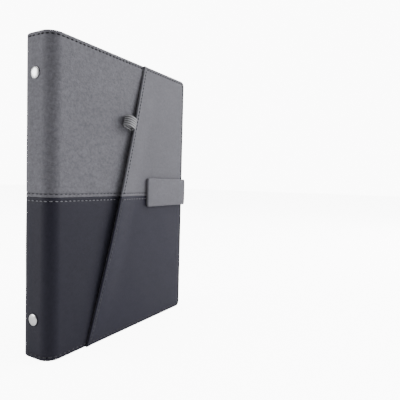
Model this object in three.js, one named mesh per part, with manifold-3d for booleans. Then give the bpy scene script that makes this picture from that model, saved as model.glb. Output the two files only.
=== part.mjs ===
// A ring binder notebook with soft two-tone covers, closed and standing on its bottom edge.
// Millimetres, +Z up: the spine is at -X, the front cover faces -Y, the fore edge is at +X.
import * as THREE from "three";
import { mergeVertices } from "three/addons/utils/BufferGeometryUtils.js";
import Module from "manifold-3d";

// Case
const coverWidth = 168;
const coverHeight = 235;
const bookDepth = 32;
const spineCornerRadius = 10;
const foreCornerRadius = 5;
const edgeRounding = 1;
const seamHeight = 119.3;

// Layers of the case, from the outside in
const leather = 1;
const board = 1.5;
const lining = 0.5;
const layerGap = 0.2;
const turnIn = 2.4;
const seamGap = 0.3;
const coverThickness = leather + board + lining + 2 * layerGap;
const boardInset = turnIn + layerGap;
const boardSetback = 2;
const spineBoardOverlap = 1;
const liningSlope = 2.4;

// Front pocket, with an edge that leans from the foot of the spine towards the top
const pocketThickness = 1.1;
const pocketEdgeAtBottom = 37.9;
const pocketEdgeAtTop = 103.1;
const pocketGape = 3.6;
const pocketGapeDepth = 28;
const pocketFinePart = 0.4;
const pocketCoarsePart = 0.7;

// Elastic pen loop, tucked under the leaning pocket edge
const loopFromTop = 56;
const loopWidth = 9.5;
const loopReach = 13.5;
const loopRise = 8.6;
const elastic = 1;
const loopTail = 4;
const loopHeightOnCover = coverHeight - loopFromTop;

// Closing strap, sewn to the back cover and folded round the fore edge
const strapWidth = 26.5;
const strapAboveSeam = 1.7;
const strapCentre = seamHeight + strapAboveSeam;
const strapLeaf = 65;
const strapCornerRadius = 3.5;
const strapOuter = 0.9;
const strapCore = 0.9;
const strapInner = 0.8;
const strapAnchorLength = 32;
const strapClearance = 0.45;
const strapFold = 1;
const strapLayerGap = 0.15;
const strapThickness = strapOuter + strapCore + strapInner + 2 * strapLayerGap;
const magnetRadius = 7;
const magnetFit = 0.3;
const magnetFromStrapEnd = 15;

// Ring mechanism
const railLength = 200;
const railWidth = 13;
const railHeight = 5;
const railSide = 2;
const railSheet = 0.8;
const railSeat = 0.3;
const railSlotFoot = 1.8;
const ringInnerDiameter = 16;
const wireDiameter = 2.4;
const ringSpacing = 19;
const ringMiddleSpacing = 70;
const ringTipGap = 0.3;
const ringSlotClearance = 0.7;
const bladeThickness = 0.9;
const bladeGap = 0.3;
const bladeFromRailEnd = 5;
const bladeLength = railLength - 2 * bladeFromRailEnd;
const bladePivotHeight = 2;
const ringOpening = 10.5;
const footFromCentre = 3.2;
const footReach = 0.3;
const holeClearance = 0.3;

// Opening levers at both ends of the rail
const leverPinDiameter = 1.6;
const leverPinInset = 2.6;
const leverPinHead = 0.4;
const leverHub = 1.75;
const leverArm = 5.4;
const leverArmThickness = 0.6;
const leverArmWidth = 3;
const leverWidth = 8.4;
const leverSheet = 1.2;
const leverReach = 5.2;
const leverRise = 7.2;
const leverCurveOut = 0.7;
const leverCurveUp = 0.4;
const leverSideGap = 0.4;
const pinClearance = 0.25;

// Rivets through the spine
const rivetSpacing = 177;
const rivetHeadDiameter = 8.8;
const rivetHeadHeight = 1.3;
const rivetShank = 3.4;
const rivetClinchDiameter = 5.4;
const rivetClinchHeight = 0.7;
const rivetClearance = 0.3;

// Sheets on the rings: 142 mm wide and 210 mm high, as the case and these margins leave them
const foreMargin = 6.7;
const endMargin = 12.5;
const pageStack = 14;
const pageHole = 6;
const holeFromEdge = 6.3;
const tunnelReach = 90;

// Fineness of curves
const cornerSteps = 6;
const wireSides = 8;
const wireSteps = 12;
const grid = 1e-3;

const middle = bookDepth / 2;
const midHeight = coverHeight / 2;
const wasm = await Module();
wasm.setup();

// A closed geometry as a solid, with the corners that its triangles share merged.
// Places are rounded to a fixed grid first, so that faces meant to lie in one plane do.
function solidOf(geometry) {
  const bare = geometry.clone();
  bare.deleteAttribute("normal");
  bare.deleteAttribute("uv");
  const places = bare.attributes.position.array;
  places.forEach((value, i) => {
    places[i] = Math.round(value / grid) * grid;
  });
  const merged = mergeVertices(bare, grid / 10);
  return new wasm.Manifold(
    new wasm.Mesh({
      numProp: 3,
      vertProperties: merged.attributes.position.array,
      triVerts: new Uint32Array(merged.index.array),
    }),
  );
}

// A solid as a geometry.
function geometryOf(solid) {
  const mesh = solid.getMesh();
  const geometry = new THREE.BufferGeometry();
  geometry.setAttribute("position", new THREE.BufferAttribute(mesh.vertProperties, 3));
  geometry.setIndex(new THREE.BufferAttribute(mesh.triVerts, 1));
  geometry.computeVertexNormals();
  return geometry;
}

const join = (...parts) => geometryOf(parts.map(solidOf).reduce((a, b) => a.add(b)));
const cut = (body, ...tools) =>
  geometryOf(tools.map(solidOf).reduce((a, b) => a.subtract(b), solidOf(body)));
const common = (a, b) => geometryOf(solidOf(a).intersect(solidOf(b)));

const radians = THREE.MathUtils.degToRad;
const span = (count, at) => Array.from({ length: count + 1 }, (_, i) => at(i / count));

// A block between two corners.
function block(low, high) {
  const size = high.map((value, i) => value - low[i]);
  const geometry = new THREE.BoxGeometry(...size);
  return geometry.translate(low[0] + size[0] / 2, low[1] + size[1] / 2, low[2] + size[2] / 2);
}

// A plan shape, x and y, raised from one height to another.
function raise(shape, bottom, top) {
  const geometry = new THREE.ExtrudeGeometry(shape, {
    depth: top - bottom,
    bevelEnabled: false,
    curveSegments: cornerSteps,
  });
  return geometry.translate(0, 0, bottom);
}

// A front-view shape, x and z, as a plate from one depth to another, with its edges rounded.
function plate(shape, front, back, rounding = 0) {
  const geometry = new THREE.ExtrudeGeometry(shape, {
    depth: back - front - 2 * rounding,
    bevelEnabled: rounding > 0,
    bevelSize: rounding,
    bevelThickness: rounding,
    bevelOffset: -rounding,
    bevelSegments: 3,
    curveSegments: cornerSteps,
  });
  return geometry.rotateX(Math.PI / 2).translate(0, back - rounding, 0);
}

// A rectangle with its two right-hand corners rounded.
function leafOutline(left, right, bottom, top, radius) {
  const shape = new THREE.Shape();
  shape.moveTo(left, bottom);
  shape.lineTo(right - radius, bottom);
  shape.absarc(right - radius, bottom + radius, radius, -Math.PI / 2, 0);
  shape.lineTo(right, top - radius);
  shape.absarc(right - radius, top - radius, radius, 0, Math.PI / 2);
  shape.lineTo(left, top);
  return shape;
}

// A bar along X or Y, for pins, discs and the holes that they need.
function bar(radius, axis, from, to, across, height, sides = 24) {
  const geometry = new THREE.CylinderGeometry(radius, radius, to - from, sides);
  if (axis === "x") {
    return geometry.rotateZ(Math.PI / 2).translate((from + to) / 2, across, height);
  }
  return geometry.translate(across, (from + to) / 2, height);
}

// Points of an outer surface seen from above, each with the direction into its material.
function bend(centreX, centreY, radius, fromDegrees, toDegrees) {
  return span(cornerSteps, (t) => {
    const angle = radians(fromDegrees + (toDegrees - fromDegrees) * t);
    const out = new THREE.Vector2(Math.cos(angle), Math.sin(angle));
    const centre = new THREE.Vector2(centreX, centreY);
    return { at: out.clone().multiplyScalar(radius).add(centre), into: out.negate() };
  });
}

const spot = (x, y, intoX, intoY) => ({
  at: new THREE.Vector2(x, y),
  into: new THREE.Vector2(intoX, intoY),
});

// The plan of a layer that lies under such a surface. The depths are one value, or one for each point.
function layer(points, outerDepth, thickness) {
  const depthAt = (i) => (Array.isArray(outerDepth) ? outerDepth[i] : outerDepth);
  const outer = points.map((p, i) => p.into.clone().multiplyScalar(depthAt(i)).add(p.at));
  const inner = points.map((p, i) => p.into.clone().multiplyScalar(depthAt(i) + thickness).add(p.at));
  return new THREE.Shape([...outer, ...inner.reverse()]);
}

// Turns a piece of the front half about the X axis through the book's middle, into the back half.
const toBack = (geometry) =>
  geometry.clone().translate(0, -middle, -midHeight).rotateX(Math.PI).translate(0, middle, midHeight);

// The part of a piece above the seam, and the part below it.
const far = coverHeight * 2;
const aboveSeam = (geometry) =>
  common(geometry, block([-far, -far, seamHeight + seamGap / 2], [far, far, far]));
const belowSeam = (geometry) =>
  common(geometry, block([-far, -far, -far], [far, far, seamHeight - seamGap / 2]));

// Materials
const finish = (color, roughness, metalness = 0) =>
  new THREE.MeshStandardMaterial({ color, roughness, metalness });
const greyLeather = finish(0x94939a, 0.8);
const darkLeather = finish(0x4a4a52, 0.8);
const boardCard = finish(0x8a8378, 0.9);
const liningFabric = finish(0x55555c, 0.85);
const nickel = finish(0xc9c9c6, 0.25, 1);
const rivetSteel = finish(0xc4c4c4, 0.3, 1);
const magnetSteel = finish(0x9a9a9a, 0.4, 1);
const paper = finish(0xf0ece2, 0.9);
const elasticFabric = finish(0x8b8a91, 0.9);

const binder = new THREE.Group();

function add(name, geometry, material) {
  const mesh = new THREE.Mesh(geometry, material);
  mesh.name = name;
  binder.add(mesh);
}

// Two-tone leather of a cover or the spine
function addLeather(place, skin) {
  add(place + "_leather_upper", aboveSeam(skin), greyLeather);
  add(place + "_leather_lower", belowSeam(skin), darkLeather);
}

// Covers. Each skin ends halfway round the spine's corner, on the line that the cover turns about.
const splitDegrees = THREE.MathUtils.radToDeg(seamGap / 2 / spineCornerRadius);
const cornerCentre = spineCornerRadius;
const boardStart = spineCornerRadius + boardSetback;

function coverSkin() {
  const outline = leafOutline(0, coverWidth, 0, coverHeight, foreCornerRadius);
  const hollow = leafOutline(
    -turnIn,
    coverWidth - turnIn,
    turnIn,
    coverHeight - turnIn,
    foreCornerRadius - turnIn,
  );
  const tray = cut(
    plate(outline, 0, coverThickness, edgeRounding),
    plate(hollow, leather, coverThickness * 2),
  );
  const flat = common(tray, block([cornerCentre, -far, -far], [far, far, far]));
  const corner = bend(cornerCentre, cornerCentre, spineCornerRadius, 225 + splitDegrees, 270);
  const lap = spot(boardStart, 0, 0, 1);
  return join(flat, raise(layer([...corner, lap], 0, leather), 0, coverHeight));
}

function coverLining() {
  const corner = bend(cornerCentre, cornerCentre, spineCornerRadius, 225 + splitDegrees, 270);
  const shallow = leather + layerGap;
  const deep = coverThickness - lining;
  const points = [
    ...corner,
    spot(boardStart - layerGap, 0, 0, 1),
    spot(boardStart + liningSlope, 0, 0, 1),
    spot(coverWidth - boardInset, 0, 0, 1),
  ];
  const depths = [...corner.map(() => shallow), shallow, deep, deep];
  const sheet = raise(layer(points, depths, lining), boardInset, coverHeight - boardInset);
  const outline = leafOutline(
    0,
    coverWidth - boardInset,
    boardInset,
    coverHeight - boardInset,
    foreCornerRadius - turnIn,
  );
  return common(sheet, plate(outline, 0, bookDepth));
}

// The board's spine edge is chamfered under the lining, which slopes up over it.
function coverBoard() {
  const front = leather + layerGap;
  const outline = leafOutline(
    0,
    coverWidth - boardInset,
    boardInset,
    coverHeight - boardInset,
    foreCornerRadius - turnIn,
  );
  const plan = new THREE.Shape();
  plan.moveTo(boardStart + layerGap, front);
  plan.lineTo(coverWidth, front);
  plan.lineTo(coverWidth, front + board);
  plan.lineTo(boardStart + liningSlope + layerGap, front + board);
  return common(plate(outline, front, front + board), raise(plan, 0, coverHeight));
}

const skin = coverSkin();
const innerSheet = coverLining();
const stiffener = coverBoard();
const magnetX = coverWidth - strapLeaf + magnetFromStrapEnd;
const magnetPocket = bar(
  magnetRadius + magnetFit,
  "y",
  leather + layerGap / 2,
  coverThickness - lining - layerGap / 2,
  magnetX,
  strapCentre,
);
addLeather("front", skin);
add("front_board", cut(stiffener, magnetPocket), boardCard);
add("front_lining", innerSheet, liningFabric);
add(
  "front_magnet",
  bar(magnetRadius, "y", leather + layerGap, leather + layerGap + board, magnetX, strapCentre),
  magnetSteel,
);
addLeather("back", toBack(skin));
add("back_board", toBack(stiffener), boardCard);
add("back_lining", toBack(innerSheet), liningFabric);

// Spine
const rivetHeights = [-1, 1].map((side) => midHeight + (side * rivetSpacing) / 2);
const rivetHoles = rivetHeights.map((height) =>
  bar(rivetShank / 2 + rivetClearance, "x", -bookDepth, bookDepth, middle, height),
);

function spinePoints() {
  const back = bookDepth - cornerCentre;
  return [
    ...bend(cornerCentre, cornerCentre, spineCornerRadius, 225 - splitDegrees, 180),
    ...bend(cornerCentre, back, spineCornerRadius, 180, 135 + splitDegrees),
  ];
}

function spineSkin() {
  const face = raise(layer(spinePoints(), 0, leather), 0, coverHeight);
  const edge = layer(spinePoints(), 0, coverThickness);
  const foot = raise(edge, 0, turnIn);
  const head = raise(edge, coverHeight - turnIn, coverHeight);
  return join(face, foot, head);
}

const spineBoardEdge = cornerCentre - spineBoardOverlap;

function spineLining() {
  const shallow = leather + layerGap;
  const deep = coverThickness - lining;
  const half = bend(cornerCentre, cornerCentre, spineCornerRadius, 225 - splitDegrees, 180);
  const rising = half.filter((p) => p.at.y < spineBoardEdge - liningSlope / 2);
  const front = [
    ...rising,
    spot(0, spineBoardEdge, 1, 0),
  ];
  const depths = [...rising.map(() => shallow), deep];
  const mirrored = front.map((p) => spot(p.at.x, bookDepth - p.at.y, p.into.x, -p.into.y)).reverse();
  const sheet = layer([...front, ...mirrored], [...depths, ...depths.slice().reverse()], lining);
  return raise(sheet, boardInset, coverHeight - boardInset);
}

addLeather("spine", cut(spineSkin(), ...rivetHoles));
add(
  "spine_board",
  cut(
    block(
      [leather + layerGap, spineBoardEdge + layerGap, boardInset],
      [leather + layerGap + board, bookDepth - spineBoardEdge - layerGap, coverHeight - boardInset],
    ),
    ...rivetHoles,
  ),
  boardCard,
);
add("spine_lining", cut(spineLining(), ...rivetHoles), liningFabric);

// Ring rail: an arched sheet with slots for the wires, and holes for the rivets and lever pins
const railBase = coverThickness + railSeat;
const railBottom = midHeight - railLength / 2;
const railTop = midHeight + railLength / 2;
const wireRadius = wireDiameter / 2;
const ringRadius = ringInnerDiameter / 2 + wireRadius;
const bladePlane = railBase + bladePivotHeight;
const ringCentre = bladePlane + ringRadius;
const pivotFromCentre = railWidth / 2 - railSheet - bladeGap;
const pairReach = ringMiddleSpacing / 2;
const ringHeights = [-2, -1, 0, 0, 1, 2].map(
  (step, i) => midHeight + (i < 3 ? -pairReach : pairReach) + step * ringSpacing,
);

function archShape() {
  const half = railWidth / 2;
  const quarter = Math.PI / 2;
  const shoulder = railBase + railSide;
  const shape = new THREE.Shape();
  shape.moveTo(railBase, middle - half);
  shape.lineTo(shoulder, middle - half);
  shape.absellipse(shoulder, middle, railHeight - railSide, half, -quarter, quarter, false);
  shape.lineTo(railBase, middle + half);
  shape.lineTo(railBase, middle + half - railSheet);
  shape.lineTo(shoulder, middle + half - railSheet);
  shape.absellipse(
    shoulder,
    middle,
    railHeight - railSide - railSheet,
    half - railSheet,
    quarter,
    -quarter,
    true,
  );
  shape.lineTo(railBase, middle - half + railSheet);
  return shape;
}

// A wire along the ring's circle, from its tip beside the middle round one side. Side -1 is the front.
function ringArc(radius, height, side, fromDegrees, toDegrees, sides, steps) {
  const points = span(steps, (t) => {
    const angle = radians(fromDegrees + (toDegrees - fromDegrees) * t);
    const out = ringRadius * Math.sin(angle);
    return new THREE.Vector3(ringCentre + ringRadius * Math.cos(angle), middle + side * out, height);
  });
  const section = new THREE.Shape();
  section.absarc(0, 0, radius, 0, 2 * Math.PI);
  return new THREE.ExtrudeGeometry(section, {
    extrudePath: new THREE.CatmullRomCurve3(points),
    steps,
    curveSegments: sides / 2,
  });
}

const tipDegrees = THREE.MathUtils.radToDeg(ringTipGap / 2 / ringRadius);
const footDegrees = 180 - THREE.MathUtils.radToDeg(Math.asin(footFromCentre / ringRadius));
const leverPinX = bladePlane;
const leverPinHeights = [railBottom + leverPinInset, railTop - leverPinInset];

// A slot clears its wire from the closed place to the open one.
function wireSlot(height, side) {
  const halfWidth = wireRadius + ringSlotClearance;
  const inner = footFromCentre - wireRadius - ringSlotClearance;
  const sides = [middle + side * inner, middle + side * (railWidth / 2 + railSheet)];
  return block(
    [railBase + railSlotFoot, Math.min(...sides), height - halfWidth],
    [railBase + railHeight * 2, Math.max(...sides), height + halfWidth],
  );
}

const pinHoles = leverPinHeights.map((height) =>
  bar(leverPinDiameter / 2 + pinClearance, "y", -bookDepth, bookDepth * 2, leverPinX, height),
);

// The arch is open over each lever.
const leverNotch = leverPinInset + leverHub + leverSideGap;
const notchHalf = leverWidth / 2 + leverSideGap;
const leverNotches = [railBottom, railTop - leverNotch].map((from) =>
  block([0, middle - notchHalf, from], [far, middle + notchHalf, from + leverNotch]),
);
add(
  "ring_rail",
  cut(
    raise(archShape(), railBottom, railTop),
    ...leverNotches,
    ...ringHeights.flatMap((height) => [wireSlot(height, -1), wireSlot(height, 1)]),
    ...rivetHoles,
    ...pinHoles,
  ),
  nickel,
);

// Blades and half rings. Each blade leans down to the middle when the rings are shut.
function bladeSide(side) {
  const inner = bladeGap / 2;
  const tilt = radians(ringOpening / 2);
  const strip = block(
    [-bladeThickness / 2, 0, midHeight - bladeLength / 2],
    [bladeThickness / 2, pivotFromCentre - inner, midHeight + bladeLength / 2],
  );
  strip.rotateZ(tilt);
  strip.translate(bladePlane, middle - pivotFromCentre, 0);
  const placed = side < 0 ? strip : toBack(strip);
  const holes = ringHeights.flatMap((height) => [
    bar(wireRadius + holeClearance, "x", 0, ringCentre, middle + side * footFromCentre, height, wireSides),
    ringArc(wireRadius + holeClearance, height, side, 90, footDegrees, wireSides, cornerSteps),
  ]);
  return cut(placed, ...holes, ...rivetHoles);
}

function halfRing(height, side) {
  const arc = ringArc(wireRadius, height, side, tipDegrees, footDegrees, wireSides, wireSteps);
  const foot = bar(
    wireRadius,
    "x",
    bladePlane - bladeThickness - footReach,
    bladePlane + wireRadius,
    middle + side * footFromCentre,
    height,
    wireSides,
  );
  return join(arc, foot);
}

for (const [word, side] of [["front", -1], ["back", 1]]) {
  add("ring_blade_" + word, bladeSide(side), nickel);
  ringHeights.forEach((height, i) => add("ring_" + word + "_" + (i + 1), halfRing(height, side), nickel));
}

// Levers: an arm under the blades, a hub on its pin, and a curved thumb tab past the rail's end.
// The profile's first coordinate runs out past the rail's end, and its second runs into the book.
function leverPart(shape, width, height, outward) {
  const geometry = new THREE.ExtrudeGeometry(shape, {
    depth: width,
    bevelEnabled: false,
    curveSegments: cornerSteps,
  });
  const across = new THREE.Vector3(0, outward, 0);
  const frame = new THREE.Matrix4().makeBasis(
    new THREE.Vector3(0, 0, outward),
    new THREE.Vector3(1, 0, 0),
    across,
  );
  frame.setPosition(leverPinX, middle - (outward * width) / 2, height);
  return geometry.applyMatrix4(frame);
}

function leverTab() {
  const curve = new THREE.CubicBezierCurve(
    new THREE.Vector2(0, leverHub - leverSheet / 2),
    new THREE.Vector2(leverReach * leverCurveOut, leverHub - leverSheet / 2),
    new THREE.Vector2(leverReach, leverRise * leverCurveUp),
    new THREE.Vector2(leverReach, leverRise),
  );
  const points = span(cornerSteps, (t) => {
    const along = curve.getTangent(t);
    return { at: curve.getPoint(t), into: new THREE.Vector2(-along.y, along.x) };
  });
  return layer(points, -leverSheet / 2, leverSheet);
}

function leverFoot() {
  const shape = new THREE.Shape();
  shape.moveTo(0, -leverHub);
  shape.lineTo(0, leverArmThickness - leverHub);
  shape.lineTo(-leverArm, leverArmThickness - leverHub);
  shape.lineTo(-leverArm, -leverHub);
  return shape;
}

function lever(height, outward) {
  const from = middle - leverWidth / 2;
  const to = middle + leverWidth / 2;
  const hub = bar(leverHub, "y", from, to, leverPinX, height);
  const hole = bar(leverPinDiameter / 2 + pinClearance, "y", 0, bookDepth, leverPinX, height);
  const tab = leverPart(leverTab(), leverWidth, height, outward);
  const foot = leverPart(leverFoot(), leverArmWidth, height, outward);
  return cut(join(tab, foot, hub), hole);
}

function leverPin(height) {
  const reach = railWidth / 2 + leverPinHead;
  return bar(leverPinDiameter / 2, "y", middle - reach, middle + reach, leverPinX, height);
}

["bottom", "top"].forEach((word, i) => {
  add("lever_" + word, lever(leverPinHeights[i], i === 0 ? -1 : 1), nickel);
  add("lever_pin_" + word, leverPin(leverPinHeights[i]), nickel);
});

// Rivets: a shallow dome on the spine, a shank, and an end clinched over the rail's crown
function rivet(height) {
  const headRadius = rivetHeadDiameter / 2;
  const crown = railBase + railHeight + layerGap;
  const dome = span(cornerSteps, (t) => {
    const angle = (t * Math.PI) / 2;
    return new THREE.Vector2(headRadius * Math.sin(angle), layerGap + rivetHeadHeight * Math.cos(angle));
  });
  const profile = [
    ...dome,
    new THREE.Vector2(rivetShank / 2, layerGap),
    new THREE.Vector2(rivetShank / 2, -crown),
    new THREE.Vector2(rivetClinchDiameter / 2, -crown),
    new THREE.Vector2(rivetClinchDiameter / 2, -crown - rivetClinchHeight / 2),
    new THREE.Vector2(rivetShank / 2, -crown - rivetClinchHeight),
    new THREE.Vector2(0, -crown - rivetClinchHeight),
  ];
  const turned = new THREE.LatheGeometry(profile.reverse(), 2 * cornerSteps);
  return turned.rotateZ(Math.PI / 2).translate(0, middle, height);
}

["bottom", "top"].forEach((word, i) => add("rivet_" + word, rivet(rivetHeights[i]), rivetSteel));

// Sheets: one block whose edges follow the rings' curve, with the wires at the inner side of its holes
const holeRadius = pageHole / 2;
const holeOffset = holeRadius - wireRadius - holeClearance;
const pageLeft = ringCentre + ringRadius + holeOffset - holeFromEdge;
const pageRight = coverWidth - foreMargin;

function pageBlock() {
  const half = pageStack / 2;
  const curve = (edge) => span(cornerSteps * 2, (t) => {
    const aside = half * (2 * t - 1);
    const sag = ringRadius - Math.sqrt(ringRadius ** 2 - aside ** 2);
    return new THREE.Vector2(edge - sag, middle + aside);
  });
  const plan = new THREE.Shape([...curve(pageLeft).reverse(), ...curve(pageRight)]);
  const sheets = raise(plan, endMargin, coverHeight - endMargin);
  const tunnels = ringHeights.map((height) => {
    const tunnel = ringArc(holeRadius, height, 1, -tunnelReach, tunnelReach, wireSides, wireSteps);
    return tunnel.translate(holeOffset, 0, 0);
  });
  return cut(sheets, ...tunnels);
}

add("page_block", pageBlock(), paper);

// Pocket panel: a sheet sewn down at the head, foot and fore edge, that gapes along its leaning edge
const pocketLean = (pocketEdgeAtTop - pocketEdgeAtBottom) / coverHeight;
const pocketEdge = (height) => pocketEdgeAtBottom + pocketLean * height;

function pocketGap(fromEdge, height) {
  const inward = Math.min(fromEdge / pocketGapeDepth, 1);
  const opened = 1 - inward * inward * (3 - 2 * inward);
  return layerGap + pocketGape * opened * Math.sin((Math.PI * height) / coverHeight);
}

function foreEdge(height) {
  const fromEnd = Math.min(height, coverHeight - height, foreCornerRadius);
  const inset = foreCornerRadius - fromEnd;
  return coverWidth - foreCornerRadius + Math.sqrt(foreCornerRadius ** 2 - inset ** 2);
}

// A closed sheet between two surfaces, each worked out from the place across and the place up.
function closedSheet(across, up, pointOn) {
  const positions = [];
  for (const face of [0, 1]) {
    for (const v of up) {
      for (const u of across) {
        positions.push(...pointOn(u, v, face));
      }
    }
  }
  const columns = across.length;
  const rows = up.length;
  const index = (i, j, face) => face * columns * rows + j * columns + i;
  const top = rows - 1;
  const end = columns - 1;
  const triangles = [];
  const quad = (a, b, c, d) => triangles.push(a, b, c, a, c, d);
  for (let j = 0; j + 1 < rows; j += 1) {
    for (let i = 0; i + 1 < columns; i += 1) {
      quad(index(i, j, 0), index(i + 1, j, 0), index(i + 1, j + 1, 0), index(i, j + 1, 0));
      quad(index(i, j, 1), index(i, j + 1, 1), index(i + 1, j + 1, 1), index(i + 1, j, 1));
    }
  }
  for (let i = 0; i + 1 < columns; i += 1) {
    quad(index(i, 0, 1), index(i + 1, 0, 1), index(i + 1, 0, 0), index(i, 0, 0));
    quad(index(i, top, 0), index(i + 1, top, 0), index(i + 1, top, 1), index(i, top, 1));
  }
  for (let j = 0; j + 1 < rows; j += 1) {
    quad(index(0, j, 0), index(0, j + 1, 0), index(0, j + 1, 1), index(0, j, 1));
    quad(index(end, j, 1), index(end, j + 1, 1), index(end, j + 1, 0), index(end, j, 0));
  }
  const geometry = new THREE.BufferGeometry();
  geometry.setAttribute("position", new THREE.Float32BufferAttribute(positions, 3));
  geometry.setIndex(triangles);
  return geometry;
}

function pocketPanel(bottom, top) {
  const quarter = Math.PI / 2;
  const corner = span(cornerSteps / 2, (t) => foreCornerRadius * (1 - Math.cos(t * quarter)));
  const open = span(cornerSteps * 2, (t) => t * coverHeight);
  const clear = open.filter((z) => z > foreCornerRadius && z < coverHeight - foreCornerRadius);
  const whole = [...corner, ...clear, ...corner.map((z) => coverHeight - z).reverse()];
  const up = [bottom, ...whole.filter((z) => z > bottom && z < top), top];
  const across = [...span(cornerSteps, (t) => t * pocketFinePart), pocketCoarsePart, 1];
  return closedSheet(across, up, (u, height, face) => {
    const edge = pocketEdge(height);
    const x = edge + u * (foreEdge(height) - edge);
    const lift = pocketGap(x - edge, height) + (face === 0 ? pocketThickness : 0);
    return [x, -lift, height];
  });
}

add("pocket_upper", pocketPanel(seamHeight + seamGap / 2, coverHeight), greyLeather);
add("pocket_lower", pocketPanel(0, seamHeight - seamGap / 2), darkLeather);

// Pen loop: a band doubled back on itself, with its two ends flat together under the pocket's edge
function penLoop() {
  const tail = 2 * elastic;
  const bow = loopRise / 2;
  const shoulder = tail + elastic / 2;
  const outline = new THREE.Shape();
  outline.moveTo(-loopTail, 0);
  outline.lineTo(loopReach - bow, 0);
  outline.absarc(loopReach - bow, bow, bow, -Math.PI / 2, Math.PI / 2);
  outline.bezierCurveTo(shoulder, loopRise, elastic, loopRise - tail, 0, tail);
  outline.lineTo(-loopTail, tail);
  const inside = new THREE.Path();
  inside.moveTo(tail, elastic);
  inside.lineTo(loopReach - bow, elastic);
  inside.absarc(loopReach - bow, bow, bow - elastic, -Math.PI / 2, Math.PI / 2);
  inside.bezierCurveTo(shoulder, loopRise - elastic, shoulder, loopRise - tail, tail, elastic);
  outline.holes.push(inside);
  const band = new THREE.ExtrudeGeometry(outline, {
    depth: loopWidth,
    bevelEnabled: false,
    curveSegments: cornerSteps,
  });
  band.translate(0, 0, -loopWidth / 2);
  const lean = Math.atan(pocketLean);
  const frame = new THREE.Matrix4().makeBasis(
    new THREE.Vector3(-Math.cos(lean), 0, Math.sin(lean)),
    new THREE.Vector3(0, -1, 0),
    new THREE.Vector3(Math.sin(lean), 0, Math.cos(lean)),
  );
  frame.setPosition(pocketEdge(loopHeightOnCover), -layerGap, loopHeightOnCover);
  return band.applyMatrix4(frame);
}

add("pen_loop", penLoop(), elasticFabric);

// Strap: layers that follow one path round the fore edge, split halfway round the back edge's fold
const strapOffset = strapClearance + strapThickness;
const foldRadius = strapFold + strapThickness;
const foldInset = strapFold - strapClearance;
const foldX = coverWidth - foldInset;
const frontFoldY = foldInset - layerGap - pocketThickness;
const backFoldY = bookDepth - foldInset;
const strapSplit = THREE.MathUtils.radToDeg(seamGap / 2 / foldRadius);
const strapBottom = strapCentre - strapWidth / 2;
const strapTop = strapCentre + strapWidth / 2;

const strapEnd = coverWidth + strapOffset - strapLeaf;
const strapPoints = [
  spot(strapEnd, frontFoldY - foldRadius, 0, 1),
  ...bend(foldX, frontFoldY, foldRadius, 270, 360),
  ...bend(foldX, backFoldY, foldRadius, 0, 45 - strapSplit),
];

// Both ends of the strap have rounded corners.
function strapStrip(points, depth, thickness, end) {
  const strip = raise(layer(points, depth, thickness), strapBottom, strapTop);
  const rounded = leafOutline(0, strapLeaf * 2, strapBottom, strapTop, strapCornerRadius);
  const tongue = plate(rounded, -bookDepth, bookDepth * 2);
  tongue.rotateZ(Math.PI).translate(end + strapLeaf * 2, bookDepth, 0);
  return common(strip, tongue);
}

const anchorEnd = coverWidth - strapAnchorLength;
const anchorPoints = [
  ...bend(foldX, backFoldY, foldRadius, 45 + strapSplit, 90),
  spot(anchorEnd, backFoldY + foldRadius, 0, -1),
];
const strapLayer = (depth, thickness) => strapStrip(strapPoints, depth, thickness, strapEnd);

const strapFace = frontFoldY - foldRadius;
const coreDepth = strapOuter + strapLayerGap;
const coreHole = bar(magnetRadius + magnetFit, "y", -bookDepth, 0, magnetX, strapCentre);
const strapMagnet = bar(
  magnetRadius,
  "y",
  strapFace + coreDepth,
  strapFace + coreDepth + strapCore,
  magnetX,
  strapCentre,
);
add("strap_outer", strapLayer(0, strapOuter), greyLeather);
add("strap_core", cut(strapLayer(coreDepth, strapCore), coreHole), boardCard);
add("strap_inner", strapLayer(coreDepth + strapCore + strapLayerGap, strapInner), greyLeather);
add("strap_magnet", strapMagnet, magnetSteel);
add("strap_anchor", strapStrip(anchorPoints, 0, strapThickness, anchorEnd), greyLeather);

// The origin is at the middle of the part's base.
const left = -layerGap - rivetHeadHeight;
const right = coverWidth + strapOffset;
const nearest = -layerGap - loopRise;
const farthest = backFoldY + foldRadius;
binder.position.set(-(left + right) / 2, -(nearest + farthest) / 2, 0);

export default binder;
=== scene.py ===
import math
import bpy
import numpy as np
from mathutils import Matrix, Vector


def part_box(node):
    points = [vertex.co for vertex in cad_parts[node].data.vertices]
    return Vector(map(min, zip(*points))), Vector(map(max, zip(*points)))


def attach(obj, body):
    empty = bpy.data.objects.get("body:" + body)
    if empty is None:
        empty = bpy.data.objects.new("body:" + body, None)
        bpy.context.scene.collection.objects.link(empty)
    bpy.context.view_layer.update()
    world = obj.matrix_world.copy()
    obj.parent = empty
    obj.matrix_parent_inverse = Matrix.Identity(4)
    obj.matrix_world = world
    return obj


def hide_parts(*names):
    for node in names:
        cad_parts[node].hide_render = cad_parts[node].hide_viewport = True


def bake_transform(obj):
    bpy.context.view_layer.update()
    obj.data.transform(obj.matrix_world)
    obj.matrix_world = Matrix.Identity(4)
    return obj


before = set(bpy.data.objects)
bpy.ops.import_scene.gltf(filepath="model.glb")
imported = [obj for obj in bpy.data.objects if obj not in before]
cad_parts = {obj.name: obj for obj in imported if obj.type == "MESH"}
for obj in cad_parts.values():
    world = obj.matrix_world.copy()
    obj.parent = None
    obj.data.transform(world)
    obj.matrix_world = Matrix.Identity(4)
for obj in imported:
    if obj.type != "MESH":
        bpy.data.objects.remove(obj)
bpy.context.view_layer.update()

# Ring binder notebook with soft two-tone covers. Lengths are worked out in mm and stored in metres.
mm = 0.001


def boxOf(node):
    low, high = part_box(node)
    return np.array(low) / mm, np.array(high) / mm


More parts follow.
